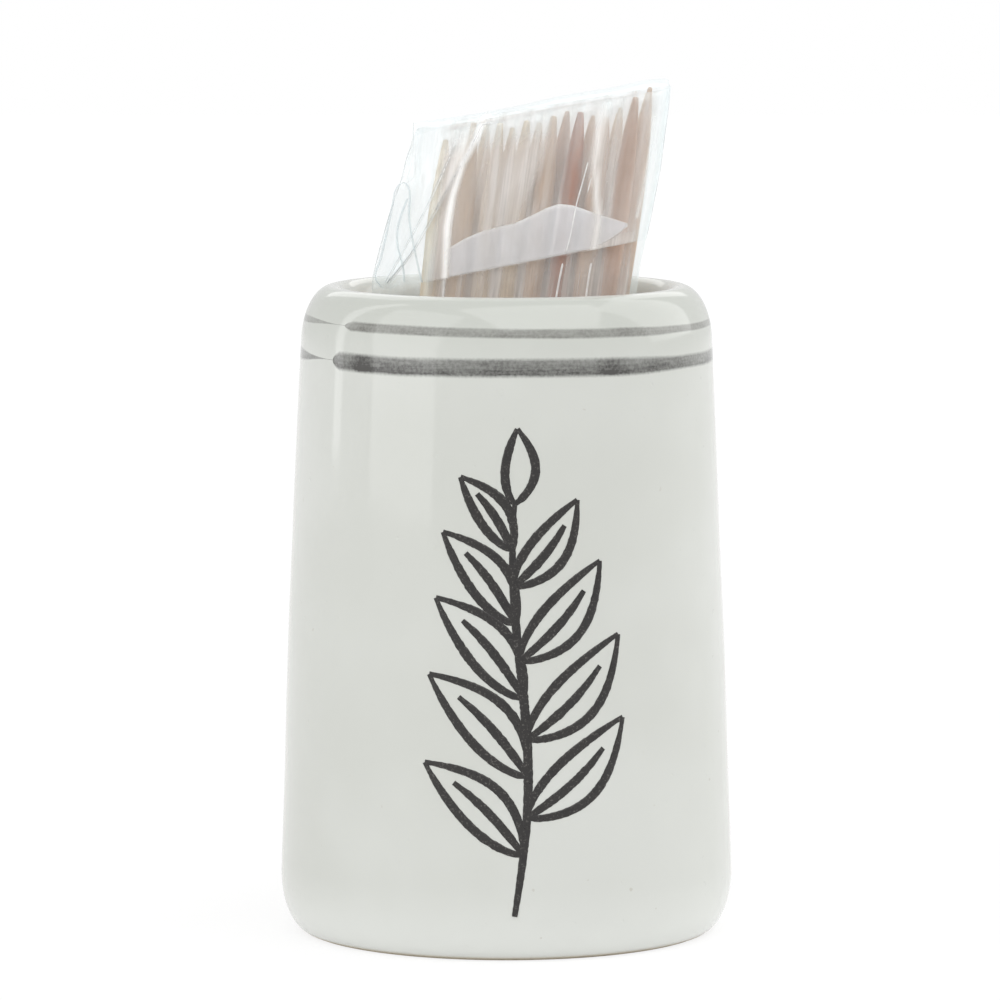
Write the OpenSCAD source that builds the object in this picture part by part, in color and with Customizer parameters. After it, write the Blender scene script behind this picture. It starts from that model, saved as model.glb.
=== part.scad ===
// A glazed cup that holds a clear film bag of round wooden toothpicks.
// Millimetres, +Z up, the origin at the centre of the cup's underside, the front towards -Y.

/* [Cup] */
// Height of the cup at its rim
cup_h = 57; // [50:1:62]
// Greatest outer radius, just above the base
belly_r = 19.9; // [19:0.1:23]
// Outer radius where the shoulder starts to round over
shoulder_r = 18.05; // [17:0.1:18.9]
// Radius of the highest ring of the rim
crest_r = 15.3; // [14.8:0.1:16.4]
// Inner radius of the mouth
mouth_r = 13.8; // [13.5:0.1:14.6]
// Inner radius of the hollow near its floor
hollow_r = 16.1; // [15.6:0.1:17.2]
// Thickness of the floor
floor_t = 4.6; // [3:0.1:6]
// Height of the rounded shoulder
shoulder_h = 5; // [3:0.5:8]
// Height of the rounding inside the rim
lip_h = 1.9; // [1:0.1:3]
// Height of the rounding above the base
base_round_h = 5; // [3:0.5:8]
// Outer radius of the ring that the cup stands on
foot_r = 17.4; // [16:0.1:18.5]
// Width of the ring that the cup stands on
foot_w = 2.6; // [1.5:0.1:4]
// Depth of the recess inside the foot ring
foot_h = 1.1; // [0.5:0.1:2]

/* [Toothpicks] */
// Length of one toothpick
pick_len = 65; // [62:1:68]
// Thickness of one toothpick
pick_d = 1.93; // [1.7:0.01:1.93]
// Thickness of its blunt tip
tip_d = 0.6; // [0.3:0.1:1]
// Length of each tapered end
taper_len = 9; // [6:0.5:12]
// Steps from one column of the bundle to the next, at the rim's height
column_step = 1.105; // [1.09:0.005:1.13]
// Distance between two rows of the bundle, from front to back
row_step = 1.75; // [1.74:0.01:1.85]
// Lean of the leftmost toothpick from upright, in degrees
lean_left = 5.9; // [5:0.1:6.4]
// Lean of the rightmost toothpick from upright, in degrees
lean_right = 8.5; // [8.2:0.1:9]
// Place of the leftmost toothpick at the rim's height
bundle_x = -6.6; // [-6.9:0.1:-6]
// Height of the lowest toothpick's foot over the floor
foot_gap = 0.56; // [0.5:0.02:1]
// How much higher the rightmost toothpick stands than the leftmost
foot_rise = 5; // [4:0.1:6]

/* [Bag] */
// Thickness of the film
film_t = 0.15; // [0.1:0.05:0.2]
// Room between the toothpicks and the film, front and back
film_gap = 0.08; // [0.05:0.01:0.3]
// Room between the cup's floor and the bag
bag_floor_gap = 0.1; // [0.05:0.05:0.3]
// Loose film to the left of the bundle at the rim
loose_left = 4.2; // [3:0.1:4.6]
// Loose film to the right of the bundle
loose_right = 1.1; // [0.9:0.1:1.4]
// Slope of the bag's lower edge, in degrees
bag_foot_slope = 6; // [4:0.5:7]
// Slope of the fold over the tips, in degrees
fold_slope = 11; // [9:0.5:12]
// Height of the fold over the highest tip
fold_gap = 0.5; // [0.4:0.1:1]
// Clearance between the pouch and the flap
flap_gap = 0.3; // [0.2:0.05:0.5]
// Width of the flap along its fold
flap_fold_w = 22.3; // [18:0.1:22.8]
// Length of the flap from the fold to its free edge
flap_len = 14; // [11:0.5:14.5]
// How far the flap's lower left corner reaches past its fold
flap_reach_left = 5.6; // [3:0.1:6]
// How far the flap's lower right corner draws in from its fold
flap_draw_right = 4.8; // [3:0.1:6]
// Radius of the fold's rounded front edge
fold_r = 1.2; // [0.6:0.1:1.6]

/* [Adhesive strip] */
// Length of the strip
strip_len = 16.8; // [12:0.2:17.4]
// Width of the strip at its widest place
strip_w = 3.9; // [2:0.1:4.5]
// Thickness of the strip
strip_t = 0.1; // [0.05:0.01:0.15]
// Distance from the strip to the flap's free edge
strip_edge = 0.6; // [0.3:0.1:2]
// Distance from the strip's left end to the flap's lower left corner
strip_inset = 5.8; // [4:0.1:6]

/* [Hidden] */
$fn = 96;
overrun = 1;
arc_steps = 8;
pick_r = pick_d / 2;
tip_r = tip_d / 2;
row_starts = [0, 3, 2, 3];
last_column = 15;
rows = len(row_starts);
middle_row = (rows - 1) / 2;
// How far up the rise each column's foot stands, from left to right
foot_rise_shares = [0, 0.15, 0.31, 0.29, 0.31, 0.23, 0.36, 0.33, 0.45, 0.54, 0.53, 0.47, 0.45, 0.62,
    0.81, 0.99];
// The hidden back rows stand a little lower
row_drop = 0.7;
row_drop_shares = [0, 0.1, 0.8, 1];
// The taper's thickness on its way from the tip, as shares of its length and of its widening
taper_length_shares = [0, 0.12, 0.35, 0.65, 1];
taper_width_shares = [0, 0.22, 0.55, 0.85, 1];
// The film's width and depth at stations up the bag, as shares of its height and of its looseness
station_shares = [0, 0.04, 0.15, 0.35, 0.6, 0.78, 0.86, 0.93, 0.98, 1];
loose_left_shares = [0.05, 0.12, 0.25, 0.5, 0.8, 1, 0.82, 0.62, 0.5, 0.44];
loose_right_shares = [0.5, 0.55, 0.55, 0.55, 0.55, 0.6, 0.95, 1, 0.95, 0.85];
depth_shares = [0.93, 1, 1, 1, 1, 1, 1, 0.99, 0.94, 0.88];
// The rounding of the bag's two sides, as shares of the half depth
left_round_shares = [0.3, 0.3, 0.45, 0.7, 0.95, 1.2, 1.2, 1, 0.9, 0.8];
right_round_share = 0.32;
side_steps = 5;
// The strip's outline, as shares of its length and of its width
strip_run_shares = [0, 0.23, 0.38, 0.65, 0.73, 0.86, 1, 1, 0.8, 0.5, 0.22, 0];
strip_rise_shares = [0.55, 0.75, 0.78, 1, 1, 0.62, 0.4, 0.08, 0, 0.02, 0, 0.1];

glaze = [0.86, 0.86, 0.83];
wood = [0.8, 0.65, 0.48];
film_clear = [0.9, 0.93, 0.94, 0.35];
strip_white = [0.93, 0.93, 0.92, 0.7];

// The number of columns that a row fills
function row_count(row) = floor((last_column - row_starts[row]) / 2) + 1;
// Every toothpick as [row, column], from the front row to the back one
picks = [for (row = [0 : rows - 1]) for (n = [0 : row_count(row) - 1]) [row, row_starts[row] + 2 * n]];
function pick_name(n) = str("toothpick_", n < 9 ? "0" : "", n + 1);

// Places in the bundle
function lean(column) = lean_left + (lean_right - lean_left) * column / last_column;
function axis_x(column, z) = bundle_x + column * column_step + (z - cup_h) * tan(lean(column));
function foot_z(row, column) = floor_t + foot_gap + foot_rise * foot_rise_shares[column]
    - (column > 0 ? row_drop * row_drop_shares[row] : 0);
function tip_z(row, column) = foot_z(row, column) + pick_len * cos(lean(column));
function row_y(row) = (row - middle_row) * row_step;
function bundle_left(z) = axis_x(0, z) - pick_r;
function bundle_right(z) = axis_x(last_column, z) + pick_r;

// The fold that closes the bag, as a sloped line over the highest tip
top_z = tip_z(1, last_column) + fold_gap;
top_x = axis_x(last_column, top_z);
function fold_z(x) = top_z + (x - top_x) * tan(fold_slope);

// The pouch's inner half depth, its corners and its stations
half_depth = middle_row * row_step + pick_r + film_gap;
outer_depth = half_depth + film_t;
foot_left_z = floor_t + bag_floor_gap + film_t;
foot_left_x = bundle_left(foot_left_z) - loose_left * loose_left_shares[0];
function bag_foot_z(x) = foot_left_z + (x - foot_left_x) * tan(bag_foot_slope);
foot_right_z = bag_foot_z(bundle_right(foot_left_z));
head_left_z = fold_z(bundle_left(top_z) - loose_left * loose_left_shares[len(station_shares) - 1]) - flap_gap;
head_right_z = fold_z(bundle_right(top_z)) - flap_gap;
function left_z(k) = foot_left_z + (head_left_z - foot_left_z) * station_shares[k];
function right_z(k) = foot_right_z + (head_right_z - foot_right_z) * station_shares[k];
function left_x(k) = bundle_left(left_z(k)) - loose_left * loose_left_shares[k];
function right_x(k) = bundle_right(right_z(k)) + loose_right * loose_right_shares[k];

// Points of a quarter ellipse from the start angle to the end angle
function arc(centre, radii, start, end) = [for (n = [0 : arc_steps])
    let (a = start + (end - start) * n / arc_steps)
    [centre[0] + radii[0] * cos(a), centre[1] + radii[1] * sin(a)]];

hollow_fillet = 2.5;
recess_r = foot_r - foot_w;
recess_fillet = foot_h / 2;
crest_drop = cup_h - shoulder_h;

module cup() {
    outline = concat(
        arc([foot_r, base_round_h], [belly_r - foot_r, base_round_h], -90, 0),
        arc([crest_r, crest_drop], [shoulder_r - crest_r, shoulder_h], 0, 90),
        arc([crest_r, cup_h - lip_h], [crest_r - mouth_r, lip_h], 90, 180),
        arc([hollow_r - hollow_fillet, floor_t + hollow_fillet], [hollow_fillet, hollow_fillet], 0, -90),
        [[0, floor_t], [0, foot_h]],
        arc([recess_r - recess_fillet, foot_h - recess_fillet], [recess_fillet, recess_fillet], 90, 0),
        [[recess_r, 0]]);
    color(glaze) rotate_extrude() polygon(outline);
}

module toothpick(row, column) {
    outline = concat(
        [[0, 0]],
        [for (n = [0 : len(taper_length_shares) - 1])
            [tip_r + (pick_r - tip_r) * taper_width_shares[n], taper_len * taper_length_shares[n]]],
        [for (n = [len(taper_length_shares) - 1 : -1 : 0])
            [tip_r + (pick_r - tip_r) * taper_width_shares[n], pick_len - taper_len * taper_length_shares[n]]],
        [[0, pick_len]]);
    foot = foot_z(row, column);
    color(wood)
        translate([axis_x(column, foot), row_y(row), foot])
        rotate([0, lean(column), 0])
        rotate_extrude() polygon(outline);
}

// One closed ring of the film at a station, grown outwards by the given thickness
function film_ring(k, grow) =
    let (
        a = left_x(k) - grow,
        b = right_x(k) + grow,
        za = left_z(k),
        zb = right_z(k),
        depth = half_depth * depth_shares[k] + grow,
        left_round = half_depth * left_round_shares[k] + grow,
        right_round = half_depth * right_round_share + grow,
        turn = 90 / side_steps,
        front_left = [for (n = [0 : side_steps])
            [a + left_round * (1 - cos(n * turn)), -depth * sin(n * turn)]],
        front_right = [for (n = [side_steps : -1 : 0])
            [b - right_round * (1 - cos(n * turn)), -depth * sin(n * turn)]],
        back_right = [for (n = [1 : side_steps])
            [b - right_round * (1 - cos(n * turn)), depth * sin(n * turn)]],
        back_left = [for (n = [side_steps : -1 : 1])
            [a + left_round * (1 - cos(n * turn)), depth * sin(n * turn)]])
    [for (p = concat(front_left, front_right, back_right, back_left))
        [p[0], p[1], za + (zb - za) * (p[0] - a) / (b - a)]];

module bag_pouch() {
    stations = len(station_shares);
    ring = 4 * side_steps + 2;
    inner_start = stations * ring;
    last = stations - 1;
    // The outer film's foot lies one film thickness lower than the inner one's
    outer = [for (k = [0 : last]) for (p = film_ring(k, film_t)) k == 0 ? p - [0, 0, film_t] : p];
    inner = [for (k = [0 : last]) for (p = film_ring(k, 0)) p];
    outer_sides = [for (k = [0 : last - 1]) for (n = [0 : ring - 1])
        let (m = (n + 1) % ring, low = k * ring, high = low + ring)
        each [[low + n, high + n, high + m], [low + n, high + m, low + m]]];
    inner_sides = [for (k = [0 : last - 1]) for (n = [0 : ring - 1])
        let (m = (n + 1) % ring, low = inner_start + k * ring, high = low + ring)
        each [[low + n, high + m, high + n], [low + n, low + m, high + m]]];
    mouth = [for (n = [0 : ring - 1])
        let (m = (n + 1) % ring, out = last * ring, in = inner_start + last * ring)
        each [[out + n, in + n, in + m], [out + n, in + m, out + m]]];
    foot = [[for (n = [0 : ring - 1]) n], [for (n = [ring - 1 : -1 : 0]) inner_start + n]];
    color(film_clear) polyhedron(concat(outer, inner), concat(outer_sides, inner_sides, mouth, foot));
}

// The flap's own frame: the fold's back edge along X, the panel hanging down in front
fold_start_x = top_x + pick_r - flap_fold_w * cos(fold_slope) + loose_right;
flap_y = outer_depth + flap_gap;
module on_fold() {
    translate([fold_start_x, outer_depth, fold_z(fold_start_x)])
        rotate([0, -fold_slope, 0])
        children();
}

// A flat sheet in the flap's frame, between two distances in front of the fold's back edge
module panel_slab(points, near, far) {
    translate([0, -near, 0])
        rotate([90, 0, 0])
        linear_extrude(far - near) polygon(points);
}

panel_near = outer_depth + flap_y;
module bag_flap() {
    outline = [[0, overrun], [flap_fold_w, overrun], [flap_fold_w, 0],
        [flap_fold_w - flap_draw_right, -flap_len], [-flap_reach_left, -flap_len], [0, 0]];
    color(film_clear) on_fold() intersection() {
        panel_slab(outline, -overrun, panel_near + film_t + overrun);
        // The film's bent section: a roof, a rounded front edge and the hanging panel
        translate([-flap_reach_left - overrun, 0, 0])
            rotate([90, 0, 90])
            linear_extrude(flap_fold_w + flap_reach_left + 2 * overrun)
            bent_section();
    }
}

module bent_section() {
    front = panel_near + film_t;
    difference() {
        union() {
            translate([-front, -flap_len - overrun]) square([front - fold_r, flap_len + overrun + film_t - fold_r]);
            translate([-front + fold_r, -flap_len - overrun]) square([front - fold_r, flap_len + overrun + film_t]);
            translate([-front + fold_r, film_t - fold_r]) circle(fold_r);
        }
        translate([-panel_near, -flap_len - 2 * overrun]) square([panel_near + overrun, flap_len + 2 * overrun - fold_r + film_t]);
        translate([-front + fold_r, -flap_len - 2 * overrun]) square([front, flap_len + 2 * overrun]);
        translate([-front + fold_r, film_t - fold_r]) circle(fold_r - film_t);
    }
}

module adhesive_strip() {
    start = strip_inset - flap_reach_left;
    low = strip_edge - flap_len;
    outline = [for (n = [0 : len(strip_run_shares) - 1])
        [start + strip_len * strip_run_shares[n], low + strip_w * strip_rise_shares[n]]];
    color(strip_white) on_fold() panel_slab(outline, panel_near - strip_t, panel_near);
}

cup();
bag_pouch();
bag_flap();
adhesive_strip();
for (n = [0 : len(picks) - 1]) {
    toothpick(picks[n][0], picks[n][1]);
}
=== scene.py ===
# %% [markdown]
# A glazed cup that holds a clear film bag of wooden toothpicks.
# The imported model is the fixed frame. Every piece made here but the flap's film rides on one of
# its bodies, and its sizes are the model's own or real ones, written in millimetres.

# %% Load the frame
import math

import bmesh
import bpy
from mathutils import Matrix, Vector, noise


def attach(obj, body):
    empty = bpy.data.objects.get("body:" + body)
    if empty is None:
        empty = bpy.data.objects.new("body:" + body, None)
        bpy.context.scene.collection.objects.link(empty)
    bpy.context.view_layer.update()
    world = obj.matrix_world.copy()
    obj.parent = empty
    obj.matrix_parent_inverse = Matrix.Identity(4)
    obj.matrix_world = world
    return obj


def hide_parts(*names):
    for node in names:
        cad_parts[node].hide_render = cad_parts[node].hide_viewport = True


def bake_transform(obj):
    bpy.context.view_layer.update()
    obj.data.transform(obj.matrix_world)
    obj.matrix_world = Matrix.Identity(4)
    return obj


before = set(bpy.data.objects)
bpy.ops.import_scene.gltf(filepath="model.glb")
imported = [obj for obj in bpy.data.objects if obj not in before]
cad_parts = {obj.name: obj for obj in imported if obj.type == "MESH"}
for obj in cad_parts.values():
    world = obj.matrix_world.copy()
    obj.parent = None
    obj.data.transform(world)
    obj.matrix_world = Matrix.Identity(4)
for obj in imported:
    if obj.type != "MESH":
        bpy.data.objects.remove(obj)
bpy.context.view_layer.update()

MM = 0.001
FULL_TURN = 2 * math.pi
scene = bpy.context.scene
pick_nodes = sorted(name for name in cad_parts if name.startswith("toothpick"))

# %% [markdown]
# Three short helpers come first: a new object, a mesh from plain lists, and a number that is kept
# between 0 and 1.

# %% Short helpers


def add(name, data):
    """A new object of the scene that holds this mesh, lamp or camera."""
    thing = bpy.data.objects.new(name, data)
    scene.collection.objects.link(thing)
    return thing


def plain_mesh(name, points, edges=(), faces=()):
    """A mesh from plain lists."""
    mesh = bpy.data.meshes.new(name)
    mesh.from_pydata(points, edges, faces)
    return mesh


def clamped(value):
    return min(1.0, max(0.0, value))


# %% [markdown]
# The camera stands a little over half a metre away, slightly above the rim, and looks down at the
# cup's middle. A long lens gives the flat perspective of a product photograph.

# %% Camera
CAMERA_DISTANCE = 590
CAMERA_HEIGHT = 100
AIM_HEIGHT = 38
CAMERA_SHIFT = -0.55
camera_data = bpy.data.cameras.new("camera")
camera_data.sensor_width = 36
camera_data.lens = 242.5
camera_data.clip_start = 0.02
camera = add("camera", camera_data)
pitch = math.atan2(CAMERA_HEIGHT - AIM_HEIGHT, CAMERA_DISTANCE)
camera.location = Vector((CAMERA_SHIFT, -CAMERA_DISTANCE, CAMERA_HEIGHT)) * MM
camera.rotation_euler = (math.pi / 2 - pitch, 0, 0)
bpy.context.scene.camera = camera
print("the camera looks down", round(math.degrees(pitch), 2), "degrees")

# %% [markdown]
# Node trees are written as short sums. Wire wraps one socket, so that Python's operators add Math
# nodes to its tree, and Graph holds a tree and adds any other node to it. Materials and Geometry
# Nodes use the same two classes.

# %% Node trees as sums


class Wire:
    """One socket of a node tree, which Python's operators work on."""

    def __init__(self, graph, socket):
        self.graph, self.socket = graph, socket

    def maths(self, operation, *values):
        return self.graph.node("ShaderNodeMath", {"operation": operation}, dict(enumerate(values)))

    def __add__(self, other):
        return self.maths("ADD", self, other)

    def __sub__(self, other):
        return self.maths("SUBTRACT", self, other)

    def __rsub__(self, other):
        return self.maths("SUBTRACT", other, self)

    def __mul__(self, other):
        return self.maths("MULTIPLY", self, other)

    def __truediv__(self, other):
        return self.maths("DIVIDE", self, other)

    def __rtruediv__(self, other):
        return self.maths("DIVIDE", other, self)

    def __pow__(self, other):
        return self.maths("POWER", self, other)

    __radd__ = __add__
    __rmul__ = __mul__

    def apply(self, operation):
        """This value put through an operation of one value, such as a sine."""
        return self.maths(operation, self)

    def least(self, other):
        return self.maths("MINIMUM", self, other)

    def most(self, other):
        return self.maths("MAXIMUM", self, other)

    def clamp(self):
        return self.most(0.0).least(1.0)

    def above(self, other):
        return self.maths("GREATER_THAN", self, other)

    def fade(self, low, high, start=0.0, end=1.0):
        """From start to end, smoothly, while this value goes from low to high."""
        sockets = {"Value": self, "From Min": low, "From Max": high, "To Min": start, "To Max": end}
        return self.graph.node("ShaderNodeMapRange", {"interpolation_type": "SMOOTHSTEP"}, sockets)


class Graph:
    """A node tree that nodes are added to by one method."""

    def __init__(self, tree):
        self.tree = tree

    def node(self, kind, settings=None, sockets=None, output=0):
        made = self.tree.nodes.new(kind)
        for key, value in (settings or {}).items():
            setattr(made, key, value)
        for key, value in (sockets or {}).items():
            if isinstance(value, Wire):
                self.tree.links.new(value.socket, made.inputs[key])
            else:
                made.inputs[key].default_value = value
        return Wire(self, made.outputs[output] if made.outputs else None)

    def vector(self, operation, *values):
        return self.node("ShaderNodeVectorMath", {"operation": operation}, dict(enumerate(values)))

    def scaled(self, vector, factors):
        return self.vector("MULTIPLY", vector, factors)

    def axes(self, vector):
        """The three parts of a vector."""
        first = self.node("ShaderNodeSeparateXYZ", sockets={0: vector})
        return [Wire(self, socket) for socket in first.socket.node.outputs]

    def join(self, x, y, z):
        return self.node("ShaderNodeCombineXYZ", sockets={0: x, 1: y, 2: z})

    def cloud(self, vector, scale, detail=2.0, roughness=0.5):
        """Soft noise from 0 to 1."""
        sockets = {"Vector": vector, "Scale": scale, "Detail": detail, "Roughness": roughness}
        return self.node("ShaderNodeTexNoise", sockets=sockets)


# %% [markdown]
# A finish is a material with its own graph. Colours go through a Mix node, because a Math node
# turns a colour grey, and the height of small relief goes through a Bump node.

# %% Finishes


class Finish(Graph):
    """One material and its nodes."""

    def __init__(self, name):
        self.material = bpy.data.materials.new(name)
        self.material.use_nodes = True
        super().__init__(self.material.node_tree)
        self.tree.nodes.clear()

    def place(self):
        return self.node("ShaderNodeTexCoord", output="Object")

    def mix(self, start, end, mask):
        """The colour start where the mask is 0, and end where it is 1."""
        settings = {"data_type": "RGBA", "clamp_factor": True}
        return self.node("ShaderNodeMix", settings, {0: mask, 6: start, 7: end}, 2)

    def attribute(self, name, output="Fac"):
        return self.node("ShaderNodeAttribute", {"attribute_name": name}, output=output)

    def bump(self, height, distance, strength=1.0):
        sockets = {"Strength": strength, "Distance": distance, "Height": height}
        return self.node("ShaderNodeBump", sockets=sockets)

    def cover(self, sockets):
        """Ends the material with one Principled shader."""
        shader = self.node("ShaderNodeBsdfPrincipled", sockets=sockets)
        self.node("ShaderNodeOutputMaterial", sockets={"Surface": shader})
        return self.material


def paint(red, green, blue):
    """A colour as the eye sees it, from 0 to 255, as the linear values that Blender mixes."""
    parts = [value / 255 for value in (red, green, blue)]
    return tuple(part ** 2.2 for part in parts) + (1.0,)


# %% [markdown]
# The stage is a plain pale floor in white surroundings. The camera and every clear surface see
# pure white there, and gloss sees a little less. The light that falls on the object is weaker.

# %% Surroundings
AMBIENT = 0.37
GLOSS_SEES = 0.7
scene.view_settings.view_transform = "Standard"
scene.cycles.transparent_max_bounces = 40

world = bpy.data.worlds.new("white studio")
world.use_nodes = True
scene.world = world
sky = Graph(world.node_tree)
sky.tree.nodes.clear()


def seen_directly(graph):
    """1 for rays of the camera and of clear surfaces, a little less for gloss, and 0 for the others."""
    first = graph.node("ShaderNodeLightPath", output="Is Camera Ray")
    rays = first.socket.node.outputs
    clear = Wire(graph, rays["Is Transmission Ray"])
    glossy = Wire(graph, rays["Is Glossy Ray"])
    return first.most(clear).most(glossy * GLOSS_SEES)


strength = AMBIENT + seen_directly(sky) * (1 - AMBIENT)
background = sky.node("ShaderNodeBackground", sockets={"Color": (1, 1, 1, 1), "Strength": strength})
sky.node("ShaderNodeOutputWorld", sockets={"Surface": background})

# %% [markdown]
# The floor is a painted surface, which shows the object's soft shadow, mixed with a plain white
# glow for the rays that see it directly. Further off it is the glow alone.

# %% Floor
FLOOR_SIZE = 3.0
FLOOR_GLOW = 0.8
GLOW_STRENGTH = 1.04
SHADOW_NEAR, SHADOW_FAR = 0.03, 0.22
floor_finish = Finish("pale floor")
speckle = floor_finish.cloud(floor_finish.place(), 60.0)
floor_tone = floor_finish.mix(paint(246, 246, 245), paint(251, 251, 250), speckle)
floor_paint = floor_finish.node(
    "ShaderNodeBsdfPrincipled", sockets={"Base Color": floor_tone, "Roughness": 0.9}
)
glow_sockets = {"Color": (1, 1, 1, 1), "Strength": GLOW_STRENGTH}
floor_glow = floor_finish.node("ShaderNodeEmission", sockets=glow_sockets)
floor_x, floor_y, _ = floor_finish.axes(floor_finish.place())
from_middle = (floor_x * floor_x + floor_y * floor_y) ** 0.5
glow_share = from_middle.fade(SHADOW_NEAR, SHADOW_FAR, FLOOR_GLOW, 1.0)
floor_mix = floor_finish.node(
    "ShaderNodeMixShader",
    sockets={0: seen_directly(floor_finish) * glow_share, 1: floor_paint, 2: floor_glow},
)
floor_finish.node("ShaderNodeOutputMaterial", sockets={"Surface": floor_mix})

half = FLOOR_SIZE / 2
corners = [(-half, -half, 0), (half, -half, 0), (half, half, 0), (-half, half, 0)]
floor = add("floor", plain_mesh("floor", corners, faces=[(0, 1, 2, 3)]))
floor.data.materials.append(floor_finish.material)

# %% [markdown]
# Four soft boxes and a narrow strip stand round the object, as in a small product studio. The
# glaze shows each as a pale soft-edged patch, so each is placed by where it is to be mirrored.

# %% Soft boxes
LAMP_DISTANCE = 0.95
LAMP_CENTRE = Vector((0, 0, 45)) * MM


def soft_box(name, azimuth, elevation, wide, tall, level):
    """Adds a lamp that the object sees as an even rectangle of the given angles."""
    side, rise = math.radians(azimuth), math.radians(elevation)
    flat = math.cos(rise)
    away = Vector((math.sin(side) * flat, -math.cos(side) * flat, math.sin(rise)))
    data = bpy.data.lights.new(name, "AREA")
    data.shape = "RECTANGLE"
    data.size = 2 * LAMP_DISTANCE * math.tan(math.radians(wide / 2))
    data.size_y = 2 * LAMP_DISTANCE * math.tan(math.radians(tall / 2))
    data.energy = level * math.pi * data.size * data.size_y
    lamp = add(name, data)
    lamp.location = LAMP_CENTRE + away * LAMP_DISTANCE
    lamp.rotation_euler = away.to_track_quat("Z", "Y").to_euler()
    lamp.visible_camera = False


soft_box("top_box", 27, 57, 56, 54, 1.5)
soft_box("left_box", -59, 23, 42, 62, 1.12)
soft_box("left_strip", -106, 26, 8, 66, 1.4)
soft_box("right_box", 108, 32, 44, 54, 1.15)
soft_box("back_box", 180, 40, 50, 40, 0.9)

# %% [markdown]
# Geometry Nodes trees get named inputs for their sizes. A modifier's input is set by its socket's
# identifier before the object is first evaluated, and the result is kept as a plain mesh.

# %% Helpers for Geometry Nodes


class Recipe(Graph):
    """A Geometry Nodes tree with named inputs."""

    def __init__(self, name, sizes):
        super().__init__(bpy.data.node_groups.new(name, "GeometryNodeTree"))
        face = self.tree.interface
        face.new_socket("Geometry", in_out="INPUT", socket_type="NodeSocketGeometry")
        face.new_socket("Geometry", in_out="OUTPUT", socket_type="NodeSocketGeometry")
        self.sizes = {}
        for label, kind in sizes.items():
            socket = face.new_socket(label, in_out="INPUT", socket_type="NodeSocket" + kind)
            self.sizes[label] = socket.identifier
        self.start = self.tree.nodes.new("NodeGroupInput")

    def given(self, label):
        return Wire(self, self.start.outputs[label])

    def position(self):
        return self.node("GeometryNodeInputPosition")

    def lattice(self):
        """A grid whose columns go round an axis, with their cosine and sine and the row's number."""
        sockets = {
            "Size X": 1.0,
            "Size Y": 1.0,
            "Vertices X": self.given("Points round") + 1,
            "Vertices Y": self.given("Points along"),
        }
        grid = self.node("GeometryNodeMeshGrid", sockets=sockets)
        column, line, _ = self.axes(self.position())
        angle = (column + 0.5) * FULL_TURN
        row = (line + 0.5) * (self.given("Points along") - 1)
        return grid, angle.apply("COSINE"), angle.apply("SINE"), row

    def sealed(self, grid, place, gap):
        """The grid with its points moved, merged where they meet, and shaded smooth."""
        moved = self.node("GeometryNodeSetPosition", sockets={"Geometry": grid, "Position": place})
        sockets = {"Geometry": moved, "Distance": gap}
        closed = self.node("GeometryNodeMergeByDistance", sockets=sockets)
        return self.node("GeometryNodeSetShadeSmooth", sockets={"Geometry": closed})

    def noted(self, geometry, name, value, kind="FLOAT"):
        """The geometry with a value stored at each point under a name."""
        settings = {"data_type": kind, "domain": "POINT"}
        sockets = {"Geometry": geometry, "Name": name, "Value": value}
        return self.node("GeometryNodeStoreNamedAttribute", settings, sockets)

    def finish(self, geometry, material):
        whole = self.node("GeometryNodeRealizeInstances", sockets={0: geometry})
        coated = self.node("GeometryNodeSetMaterial", sockets={"Geometry": whole, "Material": material})
        self.node("NodeGroupOutput", sockets={"Geometry": coated})

    def make(self, name, mesh, values):
        """Runs the recipe on a mesh with these sizes and keeps the result as a plain mesh."""
        source = add(name + "_source", mesh)
        modifier = source.modifiers.new("recipe", "NODES")
        modifier.node_group = self.tree
        for label, value in values.items():
            modifier[self.sizes[label]] = value
        return settle(source, name)


def settle(source, name):
    """The object's mesh with its modifiers worked in, as a new object with none."""
    evaluated = bpy.context.evaluated_depsgraph_get()
    mesh = bpy.data.meshes.new_from_object(
        source.evaluated_get(evaluated), preserve_all_data_layers=True, depsgraph=evaluated
    )
    mesh.name = name
    piece = add(name, mesh)
    bpy.data.objects.remove(source)
    return piece


def dress(piece, body, slot, *nodes):
    """Rides the piece on its body and hides the model nodes it stands for."""
    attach(piece, body)
    if nodes:
        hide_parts(*nodes)
    print(piece.name, "has", len(piece.data.polygons), "faces on", body)


# %% [markdown]
# The cup was turned or slip cast and then glazed, so its shape is one outline swept round an axis.
# The outline is the model's: a rounded base on a foot ring, a wall that leans in, a soft shoulder,
# a rolled lip and a hollow that widens downwards. The numbers are radii and heights.

# %% The cup's outline
BASE_TOP = 5
WALL_TOP = 52
WALL_LOW_R = 19.9
WALL_HIGH_R = 18.05
RECESS_TOP = 1.1
RECESS_R = 14.25
LIP_R = 15.3
LIP_BASE = 55.1
MOUTH_R = 13.8
HOLLOW_R = 16.1
HOLLOW_LOW = 7.1
FLOOR_R = 13.6
FLOOR_TOP = 4.6


def arc(centre, radii, start, end, steps=12):
    """Points of an ellipse from one angle to another, in degrees."""
    points = []
    for n in range(steps + 1):
        angle = math.radians(start + (end - start) * n / steps)
        points.append((centre[0] + radii[0] * math.cos(angle), centre[1] + radii[1] * math.sin(angle)))
    return points


def straight(start, end, step=1.2):
    """Points between two corners, without the corners themselves."""
    count = max(1, round(math.dist(start, end) / step))
    shares = [n / count for n in range(1, count)]
    return [(start[0] + (end[0] - start[0]) * s, start[1] + (end[1] - start[1]) * s) for s in shares]


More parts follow.
